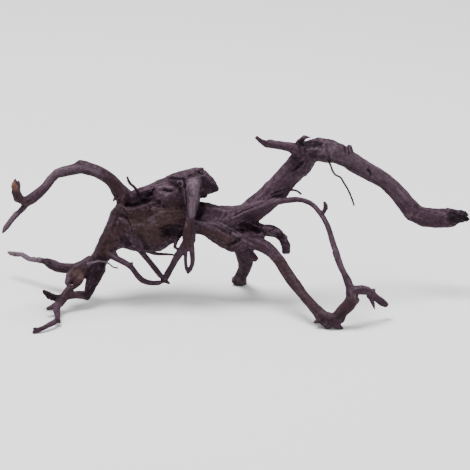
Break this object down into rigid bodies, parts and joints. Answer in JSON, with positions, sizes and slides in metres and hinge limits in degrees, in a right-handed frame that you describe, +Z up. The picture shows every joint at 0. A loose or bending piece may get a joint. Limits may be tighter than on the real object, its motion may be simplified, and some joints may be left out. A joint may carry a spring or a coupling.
{
  "type": "spiderwood root",
  "caption": "Dark branching hardwood root with a knotted crown, a long arm and looping side roots; it stands free on three low points.",
  "frame": {"origin": "centre of the bounding box at the level of the surface that the root stands on", "axes": "+Z up, +X along the longest way from the left tips to the broken right end, +Y to the back"},
  "size_m": [0.4684, 0.1596, 0.178],
  "materials": {
    "root_wood": "dry, matt, weathered dark wood with faint grey grain"
  },
  "bodies": {
    "root": {"spiderwood_root": "root_wood"}
  },
  "joints": []
}
